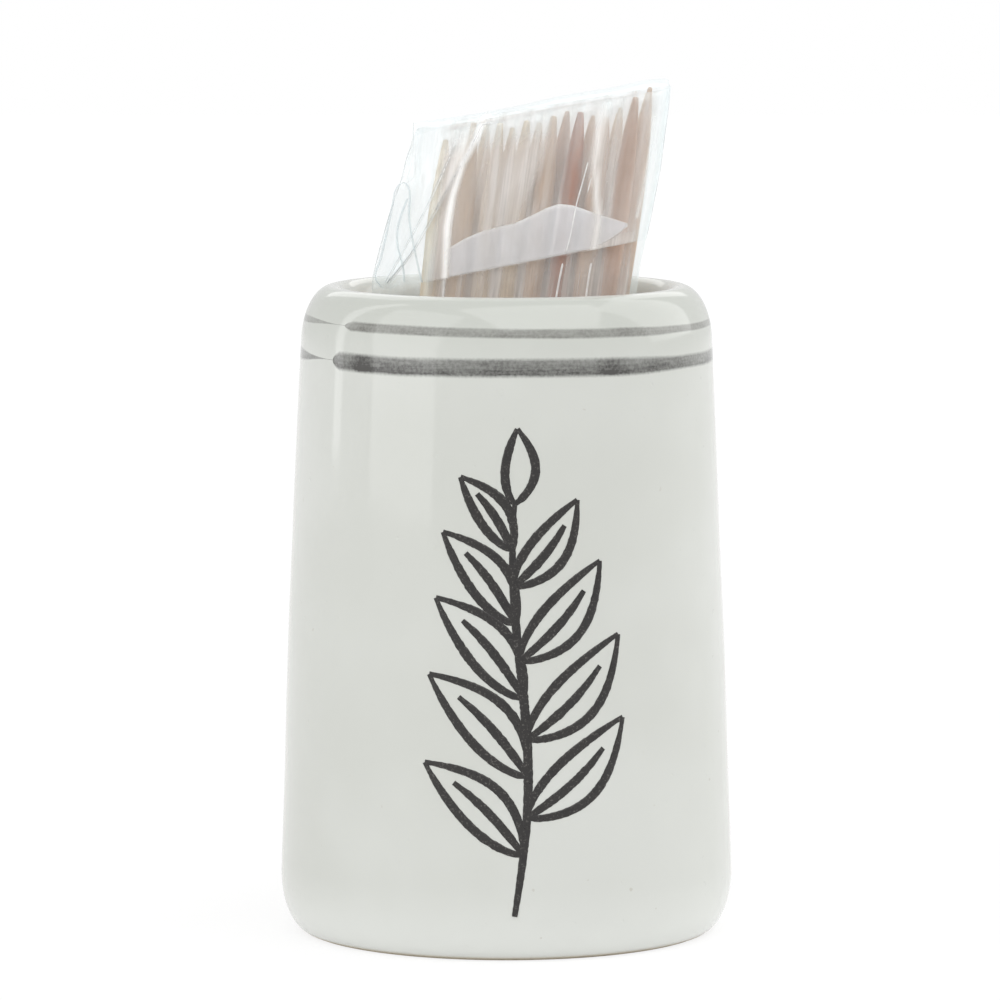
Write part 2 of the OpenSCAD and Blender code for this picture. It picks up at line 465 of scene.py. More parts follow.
cup_outline = [(0, RECESS_TOP)] + straight((0, RECESS_TOP), (RECESS_R, RECESS_TOP), 2)
cup_outline += arc((RECESS_R, 0.55), (0.55, 0.55), 90, 0, 4) + [(14.8, 0.2), (15.0, 0)]
cup_outline += [(16.2, 0)] + arc((17.4, BASE_TOP), (2.5, BASE_TOP), -90, 0)
cup_outline += straight((WALL_LOW_R, BASE_TOP), (WALL_HIGH_R, WALL_TOP))
cup_outline += arc((LIP_R, WALL_TOP), (2.75, 5), 0, 90, 16)
cup_outline += arc((LIP_R, LIP_BASE), (1.5, 1.9), 90, 180)[1:]
cup_outline += straight((MOUTH_R, LIP_BASE), (HOLLOW_R, HOLLOW_LOW))
cup_outline += arc((FLOOR_R, HOLLOW_LOW), (2.5, 2.5), 0, -90, 8)
cup_outline += straight((FLOOR_R, FLOOR_TOP), (0, FLOOR_TOP), 1.6) + [(0, FLOOR_TOP)]
print("the cup's outline has", len(cup_outline), "points")

# %% [markdown]
# The glaze lies over the clay in slow waves, so the wall bows out a little and wanders by about a
# tenth of a millimetre. The same sum moves the cup's wall and the drawing on it.

# %% The wall's slow waves
WAVE_SIZE = 1 / 0.021
WAVE_DEPTH = 0.3 * MM
BOW = 0.14 * MM


def wave(recipe, position):
    """How far the glaze stands out from the model's wall at a place on it."""
    x, y, z = recipe.axes(position)
    swell = recipe.cloud(position, WAVE_SIZE, 1.0, 0.4) - 0.5
    height = (z / (WALL_TOP * MM)).clamp()
    bow = height * (1 - height) * (4 * BOW)
    return (swell * WAVE_DEPTH + bow) * z.fade(0.5 * MM, 8 * MM)


# %% [markdown]
# The glaze is a creamy white. Over the outside of the shoulder it is painted greyer, which is
# painted shade, towards the base it is painted whiter, which is painted light, and inside it is
# painted tan, a painted reflection of the wooden picks. Two bands are brushed round the shoulder,
# on the outside only, in thinned grey underglaze. Each starts with a round dab on the left, goes
# right round, and ends in a thin tail beside its start. Streaks, pools and soft edges come from
# stretched noise.

# %% Glaze
glaze = Finish("white glaze")
spot = glaze.place()
gx, gy, gz = glaze.axes(spot)
turn = gx.maths("ARCTAN2", gx, gy * -1.0)
height = gz / MM
glaze_cloud = glaze.cloud(spot, 34.0, 3.0, 0.55)
glaze_tone = glaze.mix(paint(214, 216, 210), paint(221, 223, 218), glaze_cloud.fade(0.35, 0.65))
START_TURN = math.radians(-56)
UPPER_LATER = 0.012
outside = ((gx * gx + gy * gy) ** 0.5 / MM).fade(15.4, 16.0)
# Painted shade: the outside of the shoulder is painted greyer.
glaze_tone = glaze.mix(glaze_tone, paint(203, 206, 199), height.fade(49.5, 57) * outside)
# Painted light: the glaze is painted whiter towards the base.
glaze_tone = glaze.mix(glaze_tone, paint(235, 237, 233), height.fade(0.5, 7, 1.0, 0.0))
since = ((turn - START_TURN + FULL_TURN) / FULL_TURN).apply("FRACT")


def bump_at(since, place, width):
    """1 at a share of the way round, and 0 further off than the width."""
    return (since - place).apply("ABSOLUTE").fade(0.0, width, 1.0, 0.0)


def brushed_band(since, middle, tilt, width, loaded_at, tail, dark):
    """How strongly a brushed band covers the glaze, from 0 to 1."""
    wander = glaze.cloud(glaze.join(since * 9.0, 2.0, middle), 1.0, 2.0) - 0.5
    centre = middle - gx / MM * tilt + wander * 0.3
    dab = (since / 0.009).clamp() ** 0.5
    thinned = since.fade(0.24, 0.32, 1.0, 0.74) * since.fade(1 - tail, 1.0, 1.0, 0.0)
    reach = dab * thinned * width
    ragged = glaze.cloud(glaze.join(since * 420.0, height * 3.0, 9.0), 1.0, 3.0, 0.6) - 0.5
    below = height - centre
    across = below.apply("ABSOLUTE") / reach.most(0.02)
    body = (across + ragged * 0.24).fade(0.62, 1.16, 1.0, 0.0)
    streaks = glaze.cloud(glaze.join(since * 40.0, height * 4.0, middle), 1.0, 3.0, 0.6)
    grains = glaze.cloud(spot, 3600.0, 2.0, 0.6)
    pools = glaze.cloud(glaze.join(since * 24.0, height * 0.5, middle * 2), 1.0)
    load = 1 + bump_at(since, loaded_at, 0.016) * 0.3 + bump_at(since, 0.238, 0.02) * 0.2
    depth = streaks.fade(0.25, 0.75, 0.88, 1.05) * pools.fade(0.3, 0.7, 0.88, 1.06)
    depth = depth * grains.fade(0.3, 0.7, 0.88, 1.07) * below.fade(-0.7, 0.7, 1.08, 0.88)
    return (body * depth * load * since.fade(0.26, 0.34, 1.0, 0.86) * dark * outside).clamp()


upper_since = (since - UPPER_LATER).apply("FRACT")
upper_band = brushed_band(upper_since, 54.1, 0.012, 0.43, 0.022, 0.075, 0.7)
lower_band = brushed_band(since, 51.15, 0.004, 0.82, 0.036, 0.085, 0.9)
banded = glaze.mix(glaze_tone, paint(104, 102, 98), upper_band)
banded = glaze.mix(banded, paint(82, 81, 79), lower_band)
# Painted reflection: inside the cup, below the lip, the glaze is painted tan, the colour that the wooden
# picks throw onto the inner wall.
banded = glaze.mix(paint(222, 211, 196), banded, (outside + gz.fade(52 * MM, 55.5 * MM)).clamp())
fleck = glaze.cloud(spot, 1100.0, 1.0, 0.4).fade(0.77, 0.81) * glaze.cloud(spot, 90.0).fade(0.5, 0.6)
flecked = glaze.mix(banded, paint(186, 180, 168), fleck * 0.4)

# %% [markdown]
# Under the foot the glaze was wiped off before firing, so the ring that the cup stands on is bare
# clay: darker, rough and without gloss.

# %% Bare clay and relief
bare = gz.fade(0.15 * MM, 0.5 * MM, 1.0, 0.0)
clay_grain = glaze.cloud(spot, 1500.0, 2.0, 0.6)
clay = glaze.mix(paint(196, 183, 160), paint(214, 203, 182), clay_grain)
cup_colour = glaze.mix(flecked, clay, bare)
orange_peel = glaze.cloud(spot, 210.0)
pinholes = glaze.cloud(spot, 1250.0, 1.0, 0.3).fade(0.76, 0.82)
relief = orange_peel * 0.5 - pinholes * 0.6 + clay_grain * bare
cup_sockets = {
    "Base Color": cup_colour,
    "Roughness": (0.05 + glaze_cloud * 0.05 + bare * 0.62).clamp(),
    "IOR": 1.5,
    "Normal": glaze.bump(relief, 0.00004, 0.6),
}
glaze_finish = glaze.cover(cup_sockets)

# %% [markdown]
# The recipe samples the outline once for each point of a grid: one side of the grid follows the
# outline and the other goes round the axis. Merging by distance closes the seam and both poles.

# %% Turn the cup
ROUND_STEPS = 300
SEAM_GAP = 0.002 * MM
turned = Recipe("turned cup", {"Points round": "Int", "Points along": "Int"})
blank, ring_x, ring_y, row = turned.lattice()
sampled = turned.node(
    "GeometryNodeSampleIndex",
    {"data_type": "FLOAT_VECTOR", "domain": "POINT"},
    {"Geometry": turned.given("Geometry"), "Value": turned.position(), "Index": row.apply("ROUND")},
)
radius, _, level = turned.axes(sampled)
bare_place = turned.join(radius * ring_x, radius * ring_y, level)
out = radius + wave(turned, bare_place) * radius.fade(2 * MM, 12 * MM)
cup_place = turned.join(out * ring_x, out * ring_y, level)
turned.finish(turned.sealed(blank, cup_place, SEAM_GAP), glaze_finish)

outline_edges = [(n, n + 1) for n in range(len(cup_outline) - 1)]
outline_mesh = plain_mesh("cup_outline", [(r * MM, 0, z * MM) for r, z in cup_outline], outline_edges)
cup_sizes = {"Points round": ROUND_STEPS, "Points along": len(cup_outline)}
cup = turned.make("glazed_cup", outline_mesh, cup_sizes)
dress(cup, "holder", "glaze", "cup")

# %% [markdown]
# The front carries a drawing in near-black underglaze. It is a plain leaf sprig: a stem, pairs of
# almond-shaped leaves with midribs, and a bud. It is drawn flat first, in millimetres across and
# up, as lines that swell in the middle and thin out at their ends.

# %% Draw the sprig
STEM_FOOT = Vector((0.7, 4.2))
STEM_HEAD = Vector((1.5, 39.6))
STROKE = 0.42
LEAF_STEPS = 18
RIB_SHARES = (0, 0.15, 0.3, 0.45, 0.6, 0.74)
sprig_lines = []


def stem_at(share):
    """A place on the stem, which sways gently from side to side."""
    point = STEM_FOOT.lerp(STEM_HEAD, share)
    return point + Vector((math.sin(share * 5.2) * 0.9, 0))


def leaf_lines(root, heading, length, width):
    """The two sides and the midrib of one leaf, from its root."""
    ahead = Vector((math.sin(heading), math.cos(heading)))
    aside = Vector((ahead.y, -ahead.x))

    def leaf_point(share, offset):
        bend = math.sin(math.pi * share) * 0.06 * length
        return root + ahead * (length * share) + aside * (offset + bend)

    lines = []
    for side in (-1, 1):
        shares = [n / LEAF_STEPS for n in range(LEAF_STEPS + 1)]
        swells = [side * width * math.sin(math.pi * share ** 0.86) ** 0.9 / 2 for share in shares]
        lines.append([leaf_point(share, swell) for share, swell in zip(shares, swells)])
    lines.append([leaf_point(share, 0) for share in RIB_SHARES])
    return lines


sprig_lines.append([stem_at(n / 40) for n in range(41)])
for share, side, length in (
    (0.15, -1, 11.6), (0.24, 1, 12.0), (0.34, -1, 12.2), (0.43, 1, 12.0), (0.53, -1, 11.4),
    (0.62, 1, 11.0), (0.71, -1, 10.0), (0.8, 1, 9.2), (0.89, -1, 7.6),
):
    sprig_lines += leaf_lines(stem_at(share), side * math.radians(50 - 16 * share), length, length * 0.34)
sprig_lines += leaf_lines(stem_at(1.0), math.radians(2), 6.4, 2.6)[:2]
print("the sprig has", len(sprig_lines), "lines")

# %% Underglaze ink
ink = Finish("black underglaze")
ink_place = ink.place()
ink_grain = ink.cloud(ink_place, 5200.0, 2.0, 0.6)
ink_pool = ink.cloud(ink_place, 700.0)
ink_colour = ink.mix(paint(44, 42, 41), paint(96, 93, 90), ink_grain.fade(0.55, 0.72) * 0.8)
ink_colour = ink.mix(ink_colour, paint(30, 29, 29), ink_pool.fade(0.5, 0.75) * 0.6)
ink_sockets = {
    "Base Color": ink_colour,
    "Roughness": 0.2 + ink_grain * 0.25,
    "Normal": ink.bump(ink_grain, 0.00002, 0.5),
}
ink_finish = ink.cover(ink_sockets)

# %% [markdown]
# The second recipe turns the flat lines into round cords of their own width, flattens them and
# wraps them on the wall: the distance across becomes an angle, and the height finds the radius.

# %% Wrap the sprig on the wall
SPRIG_SIZES = {"Point spacing": "Float", "Proud": "Float", "Flatness": "Float"}
wrapped = Recipe("sprig on the wall", SPRIG_SIZES)
strands = wrapped.node("GeometryNodeMeshToCurve", sockets={0: wrapped.given("Geometry")})
spacing = {"Curve": strands, "Length": wrapped.given("Point spacing")}
even = wrapped.node("GeometryNodeResampleCurve", {"mode": "LENGTH"}, spacing)
pen = wrapped.node("GeometryNodeInputNamedAttribute", {"data_type": "FLOAT"}, {"Name": "pen"})
shake = wrapped.cloud(wrapped.position(), 2600.0, 2.0, 0.6)
pen_width = pen * (0.72 + shake * 0.56)
nib_sockets = {"Resolution": 10, "Radius": 1.0}
nib = wrapped.node("GeometryNodeCurvePrimitiveCircle", {"mode": "RADIUS"}, nib_sockets)
cord_sockets = {"Curve": even, "Profile Curve": nib, "Scale": pen_width, "Fill Caps": True}
cords = wrapped.node("GeometryNodeCurveToMesh", sockets=cord_sockets)
across, lift, up = wrapped.axes(wrapped.position())
slope = (WALL_LOW_R - WALL_HIGH_R) / (WALL_TOP - BASE_TOP)
wall = WALL_LOW_R * MM - (up - BASE_TOP * MM) * slope
side_turn = across / wall
side_x = side_turn.apply("SINE")
side_y = side_turn.apply("COSINE") * -1.0
on_wall = wrapped.join(wall * side_x, wall * side_y, up)
stand = wall + wave(wrapped, on_wall) + wrapped.given("Proud") - lift * wrapped.given("Flatness")
drawn = wrapped.join(stand * side_x, stand * side_y, up)
laid = wrapped.node("GeometryNodeSetPosition", sockets={"Geometry": cords, "Position": drawn})
wrapped.finish(wrapped.node("GeometryNodeSetShadeSmooth", sockets={"Geometry": laid}), ink_finish)

sprig_points = []
sprig_edges = []
pen_widths = []
for line in sprig_lines:
    first = len(sprig_points)
    for n, point in enumerate(line):
        share = n / (len(line) - 1)
        pen_widths.append(STROKE * MM * (0.55 + 0.45 * math.sin(math.pi * min(1, share * 1.1)) ** 0.5))
        sprig_points.append((point.x * MM, 0, point.y * MM))
    sprig_edges += [(first + n, first + n + 1) for n in range(len(line) - 1)]
sprig_mesh = plain_mesh("sprig_lines", sprig_points, sprig_edges)
sprig_mesh.attributes.new("pen", "FLOAT", "POINT").data.foreach_set("value", pen_widths)
sprig_values = {"Point spacing": 0.22 * MM, "Proud": 0.01 * MM, "Flatness": 0.09}
sprig = wrapped.make("leaf_sprig", sprig_mesh, sprig_values)
dress(sprig, "holder", "glaze")

# %% [markdown]
# The toothpicks are round birch picks, turned on a machine: a straight shank that narrows to a
# blunt tip at each end. The wood is pale with fine streaks along it, and a few picks are browner
# than the others. The streaks follow each pick, so the recipe stores the place along the pick
# before it is leaned over.

# %% Wood
wood = Finish("birch")
grain = wood.attribute("grain", "Vector")
tone = wood.attribute("tone")
long_streaks = wood.cloud(wood.scaled(grain, (900.0, 900.0, 26.0)), 1.0, 3.0, 0.6)
fibres = wood.cloud(wood.scaled(grain, (4200.0, 4200.0, 110.0)), 1.0, 2.0, 0.6)
pores = wood.cloud(wood.scaled(grain, (5200.0, 5200.0, 300.0)), 1.0, 1.0, 0.4).fade(0.66, 0.74)
pale = wood.mix(paint(240, 225, 197), paint(226, 204, 172), long_streaks.fade(0.3, 0.7))
brown = wood.mix(paint(182, 102, 46), paint(144, 74, 32), long_streaks.fade(0.3, 0.7))
wood_colour = wood.mix(pale, brown, tone)
wood_colour = wood.mix(wood_colour, paint(168, 126, 90), fibres.fade(0.5, 0.8) * 0.35)
wood_colour = wood.mix(wood_colour, paint(128, 88, 60), pores * 0.4)
wood_sockets = {
    "Base Color": wood_colour,
    "Roughness": 0.5 + fibres * 0.2,
    "Normal": wood.bump(fibres * 0.7 + long_streaks * 0.5, 0.00006, 0.7),
}
wood_finish = wood.cover(wood_sockets)

# %% Toothpick recipe
PICK_GAP = 0.004 * MM
PICK_SIZES = {"Points round": "Int", "Points along": "Int"}
for label in ("Length", "Thickness", "Tip thickness", "Taper length", "Seed", "Tone"):
    PICK_SIZES[label] = "Float"
picking = Recipe("toothpick", PICK_SIZES)
pick_blank, pick_x, pick_y, pick_row = picking.lattice()
rows = picking.given("Points along") - 1
is_pole = (pick_row - rows * 0.5).apply("ABSOLUTE").above(rows * 0.5 - 0.5)
run = ((pick_row - 1) / (rows - 2)).clamp()
spread = run.fade(0.0, 1.0) * 0.5 + run * 0.5
along = spread * picking.given("Length")
from_end = along.least(picking.given("Length") - along)
open_share = 1 - (1 - (from_end / picking.given("Taper length")).clamp()) ** 1.9
tip_r = picking.given("Tip thickness") * 0.5
full_r = picking.given("Thickness") * 0.5
facets = picking.cloud(picking.join(pick_x, pick_y, picking.given("Seed")), 1.3, 2.0)
knots = picking.cloud(picking.join(picking.given("Seed"), along * 300.0, pick_x), 1.0, 2.0)
worn = 1 - facets * 0.07 - knots * 0.05
pick_r = (tip_r + (full_r - tip_r) * open_share) * worn * (1 - is_pole)
dome = is_pole * (spread - 0.5) * 0.16 * MM
upright = picking.join(pick_r * pick_x, pick_r * pick_y, along + dome)
whittled = picking.sealed(pick_blank, upright, PICK_GAP)
shift = picking.join(0.0, 0.0, picking.given("Seed") * 0.09)
seeded = picking.vector("ADD", picking.position(), shift)
grained = picking.noted(whittled, "grain", seeded, "FLOAT_VECTOR")
toned = picking.noted(grained, "tone", picking.given("Tone"))
picking.finish(toned, wood_finish)

# %% [markdown]
# Each pick stands where its model node stands. The two blunt ends of the node's mesh give its
# line, and the finished mesh is turned from upright onto that line.

# %% Stand the toothpicks in the bag
PICK_THICKNESS = 1.93
TIP_THICKNESS = 0.46
TAPER_LENGTH = 9
END_SLICE = 0.02 * MM
PICK_TONES = {
    "toothpick_01": 0.04, "toothpick_02": 0.28, "toothpick_03": 0.08, "toothpick_04": 0.1,
    "toothpick_05": 0.38, "toothpick_06": 1.0, "toothpick_07": 0.42, "toothpick_08": 0.66,
    "toothpick_12": 0.65, "toothpick_13": 0.45, "toothpick_14": 0.08, "toothpick_15": 0.5,
}


def ends_of(node):
    """The middles of a node's lower and upper ends."""
    points = [vertex.co.copy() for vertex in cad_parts[node].data.vertices]
    low = min(points, key=lambda point: point.z)
    high = max(points, key=lambda point: point.z)
    heading = (high - low).normalized()
    for _ in range(3):
        spans = [point.dot(heading) for point in points]
        near = [point for point, span in zip(points, spans) if span < min(spans) + END_SLICE]
        far = [point for point, span in zip(points, spans) if span > max(spans) - END_SLICE]
        low = sum(near, Vector()) / len(near)
        high = sum(far, Vector()) / len(far)
        heading = (high - low).normalized()
    return low, high


pick_lines = {}
for n, node in enumerate(pick_nodes):
    low, high = ends_of(node)
    pick_lines[node] = (low, high)
    chance = Vector((math.sin(n * 12.9), math.sin(n * 7.3), 0))
    values = {
        "Length": (high - low).length,
        "Thickness": PICK_THICKNESS * MM,
        "Tip thickness": TIP_THICKNESS * MM * (1.0 + 0.18 * chance.x),
        "Taper length": TAPER_LENGTH * MM * (0.95 + 0.1 * chance.y),
        "Points round": 18,
        "Points along": 44,
        "Seed": 1.7 * n,
        "Tone": PICK_TONES.get(node, 0.08 + 0.09 * abs(chance.x)),
    }
    pick = picking.make(node.replace("toothpick", "pick"), bpy.data.meshes.new("empty"), values)
    lean = Vector((0, 0, 1)).rotation_difference((high - low).normalized())
    pick.data.transform(Matrix.Translation(low) @ lean.to_matrix().to_4x4())
    dress(pick, "bag", "wood", node)

# %% [markdown]
# The bag is thin clear film. It isn't cloth: it is stiff for its thickness, so it stands in long
# straight folds and small sharp creases. The pouch is one closed tube of film round the picks,
# drawn as rings from the foot to the mouth. Its two side edges are the tables below, as heights
# and distances from the cup's axis, in millimetres.

# %% The pouch's edges
LEFT_EDGE = [
    (4.9, -13.1), (8, -13.1), (15, -12.9), (28, -12.6), (44.5, -12.2), (54, -11.95), (57.9, -11.7),
    (60.1, -11.15), (61.9, -10.65), (64.1, -10.0), (66.3, -9.2), (67.6, -8.9), (69.8, -8.25),
    (70.7, -7.8),
]
RIGHT_EDGE = [
    (7.7, 4.3), (12, 5.0), (25, 6.85), (40, 9.1), (50, 10.55), (57.4, 11.6), (59.2, 11.9), (63.0, 12.75),
    (67.2, 13.55), (71.0, 14.05), (73.4, 14.35), (74.4, 14.45),
]
FIRST_PICK, LAST_PICK = "toothpick_01", "toothpick_15"
BAG_DEPTH = 3.76


def along_table(table, value):
    """The table's value at a place between its rows."""
    for (low, start), (high, end) in zip(table, table[1:]):
        if value <= high:
            share = max(0.0, (value - low) / (high - low))
            return start + (end - start) * share
    return table[-1][1]


def pick_axis(node, z):
    """Where a pick's middle line crosses a height."""
    low, high = pick_lines[node]
    share = (z * MM - low.z) / (high.z - low.z)
    return (low.x + (high.x - low.x) * share) / MM


# %% [markdown]
# Seen from above, the film runs straight from its left edge to the first pick, lies on the row of
# picks with a slight dip between each two, and turns tightly round the last one.

# %% The pouch's depth
FRONT_ROW = pick_nodes[0:8]
BACK_ROW = pick_nodes[22:29]
ROW_Y = 2.625
WRAP_R = 1.12
PICK_REACH = 0.965
RIGHT_ROUND = 1.25
DIP = 0.2


def gap_to_pick(x, z, row):
    """How far a place is from the nearest pick of a row, where 1 is the edge of that pick."""
    return min(abs(x - pick_axis(node, z)) for node in row) / PICK_REACH


def film_depth(x, z, row):
    """How far the film stands from the bag's middle plane, in front of or behind the picks."""
    left = along_table(LEFT_EDGE, z)
    right = along_table(RIGHT_EDGE, z)
    from_left = max(0.0, x - left)
    from_right = max(0.0, right - x)
    centre = pick_axis(FIRST_PICK, z) - left
    span = math.hypot(centre, ROW_Y)
    rise_angle = math.atan2(ROW_Y, centre) + math.asin(WRAP_R / span)
    touch = math.sqrt(span ** 2 - WRAP_R ** 2) * math.cos(rise_angle)
    if from_left < touch:
        depth = from_left * math.tan(rise_angle)
    elif from_left < centre:
        depth = ROW_Y + math.sqrt(max(0.0, WRAP_R ** 2 - (centre - from_left) ** 2))
    else:
        dip = DIP * min(1.0, gap_to_pick(x, z, row)) ** 2
        depth = BAG_DEPTH - dip * min(1.0, from_left - centre)
    if from_right < RIGHT_ROUND:
        depth = min(depth, BAG_DEPTH * math.sqrt(1 - (1 - from_right / RIGHT_ROUND) ** 2))
    return depth


# %% [markdown]
# Wrinkles are raised along drawn lines and by stretched noise. The lines are placed as the camera
# sees them: seen_at gives the point at a chosen depth that lies behind a point of the axis plane.

# %% Wrinkles


def seen_at(x, z, y):
    """The point at depth y that the camera sees at x and z of the upright plane through the axis."""
    closer = (CAMERA_DISTANCE + y) / CAMERA_DISTANCE
    across = CAMERA_SHIFT + (x - CAMERA_SHIFT) * closer
    return Vector((across, y, CAMERA_HEIGHT - (CAMERA_HEIGHT - z) * closer))


def apparent(point):
    """Where the camera sees a point, as x and z of the upright plane through the axis."""
    closer = (CAMERA_DISTANCE + point.y) / CAMERA_DISTANCE
    x = CAMERA_SHIFT + (point.x - CAMERA_SHIFT) / closer
    return x, CAMERA_HEIGHT - (CAMERA_HEIGHT - point.z) / closer


def distance_to(line, x, z):
    """The shortest distance from a point to a line of points."""
    best = 1e9
    for (ax, az), (bx, bz) in zip(line, line[1:]):
        dx, dz = bx - ax, bz - az
        share = clamped(((x - ax) * dx + (z - az) * dz) / (dx * dx + dz * dz))
        best = min(best, math.hypot(x - ax - dx * share, z - az - dz * share))
    return best


def ridge(line, x, z, width):
    """1 on a line, falling in a rounded slope to 0 at the given distance from it."""
    return max(0.0, 1 - distance_to(line, x, z) / width) ** 1.5


def crumple(x, z, seed):
    """Small folds that run along the bag, from 0 to 1."""
    slanted = x - z * 0.13
    fine = 1 - abs(noise.noise(Vector((slanted * 0.85, z * 0.13, seed)))) * 2.2
    broad = 1 - abs(noise.noise(Vector((slanted * 0.33 + z * 0.05, z * 0.09, seed + 7)))) * 2.0
    return max(0.0, fine) ** 3 * 0.45 + max(0.0, broad) ** 4 * 0.55


def over_bundle(x, z):
    """1 where the film lies on the picks, fading to 0 beside them."""
    left = (x - pick_axis(FIRST_PICK, z) + 0.9) / 1.2
    right = (pick_axis(LAST_PICK, z) + 1.1 - x) / 0.8
    return clamped(left) * clamped(right)


def rough_patch(patches, x, z):
    """The sum of soft slanted patches, each with a place, two half sizes, a strength and a lean."""
    total = 0.0
    for at_x, at_z, wide, tall, strong, slant in patches:
        off = ((x - at_x - (z - at_z) * slant) / wide) ** 2 + ((z - at_z) / tall) ** 2
        total += strong * math.exp(-off)
    return total


# %% [markdown]
# The film is clear with a faint cool tint. It turns visible where it is seen edge on, where a milky
# haze of scuffs and static lies on it, and where light and shade are painted on it: creases are
# painted grey as painted shade, shining places are painted white as painted highlights, and in
# places the haze is raised as painted light. Each sheet stores these as numbers at its points,
# which raise the material's alpha, and one more number that only tints the film beige over the
# wood, a painted reflection of the picks.

# %% Film
# A faint painted glow: the film gives off light of its own colour.
FILM_GLOW = 0.2
film = Finish("clear film")
veil_and_painted_light = film.attribute("veil_and_painted_light")
crease_shade_or_glue_edge = film.attribute("crease_shade_or_glue_edge")
painted_wood_reflection = film.attribute("painted_wood_reflection")
shine = film.attribute("shine")
facing = film.node("ShaderNodeLayerWeight", sockets={"Blend": 0.5}, output="Facing")
film_place = film.place()
scuff = film.cloud(film.scaled(film_place, (1.0, 1.0, 0.3)), 900.0, 3.0, 0.65)
cling = film.cloud(film_place, 160.0)
film_x, film_y, film_z = film.axes(film_place)
streak_place = film.join((film_x - film_z * 0.14) * 1200.0, film_y * 60.0, film_z * 55.0)
streaks = film.cloud(streak_place, 1.0, 3.0, 0.6)
# Painted reflection: over the wood the film is tinted beige, the colour the picks throw into its haze.
film_colour = film.mix(paint(226, 238, 241), paint(215, 210, 206), painted_wood_reflection)
# Painted highlight: where it shines, the film is painted near white.
film_colour = film.mix(film_colour, paint(254, 253, 251), shine)
# Painted shade: along creases the film is painted grey.
film_colour = film.mix(film_colour, paint(160, 164, 166), crease_shade_or_glue_edge)
edge_glow = facing ** 4.0
milk = (veil_and_painted_light + shine * 0.8) * (0.6 + scuff * 0.25 + streaks.fade(0.42, 0.72) * 0.8)
film_alpha = 0.04 + edge_glow * 0.34 + milk + crease_shade_or_glue_edge * 0.42 + cling.fade(0.5, 0.9) * 0.03
film_sockets = {
    "Base Color": film_colour,
    "Metallic": (0.35 - (veil_and_painted_light + shine) * 0.7).clamp(),
    "Roughness": (0.14 + veil_and_painted_light * 0.5).clamp(),
    "Alpha": film_alpha.clamp(),
    "Emission Color": film_colour,
    "Emission Strength": FILM_GLOW,
    "Normal": film.bump(film.cloud(film_place, 420.0), 0.00005, 0.6),
}
film_finish = film.cover(film_sockets)

# %% [markdown]
# A sheet of film starts as a grid of points. Solidify gives it its thickness, with a rim, so that
# each sheet is a closed shell. A drawn line becomes a fine bead of film along it.

# %% Sheets and beads
FILM_THICKNESS = 0.07


def sheet_object(name, lines, marks, round_about=False):
    """An object from lines of points, with a dictionary of numbers for each point."""
    width = len(lines[0])
    faces = []
    for j in range(len(lines) - 1):
        for i in range(width if round_about else width - 1):
            a, b = j * width + i, j * width + (i + 1) % width
            faces.append((a, b, b + width, a + width))
    mesh = plain_mesh(name, [point * MM for line in lines for point in line], faces=faces)
    for label, values in marks.items():
        mesh.attributes.new(label, "FLOAT", "POINT").data.foreach_set("value", values)
    mesh.shade_smooth()
    return add(name + "_sheet", mesh)


def thicken(thing, name, thickness, finish):
    """Gives a sheet its thickness towards its inner side and keeps the result."""
    modifier = thing.modifiers.new("thickness", "SOLIDIFY")
    modifier.thickness = thickness * MM
    modifier.offset = -1
    piece = settle(thing, name)
    piece.data.materials.clear()
    piece.data.materials.append(finish)
    return piece


def bead_parts(path, radius, sides=6):
    """Points and faces of a thin closed cord along a path."""
    points, faces = [], []
    count = len(path)
    for n, point in enumerate(path):
        ahead = (path[min(n + 1, count - 1)] - path[max(n - 1, 0)]).normalized()
        first = ahead.cross(Vector((0, 1, 0))).normalized()
        second = ahead.cross(first).normalized()
        size = radius * (0.35 if n in (0, count - 1) else 1.0)
        for k in range(sides):
            angle = FULL_TURN * k / sides
            points.append(point + (first * math.cos(angle) + second * math.sin(angle)) * size)
    for n in range(count - 1):
        for k in range(sides):
            a, b = n * sides + k, n * sides + (k + 1) % sides
            faces.append((a, a + sides, b + sides, b))
    faces.append(tuple(range(sides)))
    faces.append(tuple((count - 1) * sides + k for k in reversed(range(sides))))
    return points, faces


def smooth_path(points, step=0.3):
    """A curve through the points, with a point about every step."""
    path = []
    padded = [points[0]] + list(points) + [points[-1]]
    for before, start, end, after in zip(padded, padded[1:], padded[2:], padded[3:]):
        count = max(1, round((end - start).length / step))
        for k in range(count):
            t = k / count
            square = (before * 2 - start * 5 + end * 4 - after) * t ** 2
            cube = (start * 3 - before - end * 3 + after) * t ** 3
            path.append((start * 2 + (end - before) * t + square + cube) * 0.5)
    return path + [points[-1]]


# %% [markdown]
# The pouch goes round the bundle in one tube: across the front, round the right side, back behind
# the picks and round the left edge. Its lowest rings draw in a little to a flat foot.

# %% Pouch
RING_FRONT = 120
RING_BACK = 84
FOOT_CLOSE = 0.9
POUCH_FOOT = (4.95, 7.75)
POUCH_MOUTH = (70.7, 74.4)
FOOT_STEPS = [0.0, 0.004, 0.02]
LOW_STEPS, HIGH_STEPS, HIGH_START = 34, 92, 0.74
SWELL = 0.2
FRONT_SEED, BACK_SEED = 3.0, 21.0
RIM_START, RIM_FADE = 50, 6
PAINTED_LIGHT_TOP, PAINTED_LIGHT_FADE = 61, 3


def side_shares(count):
    """Shares from 0 to 1 that crowd near both ends, where the film turns."""
    shares = [n / (count - 1) for n in range(count)]
    return [share - 0.09 * math.sin(FULL_TURN * share) for share in shares]


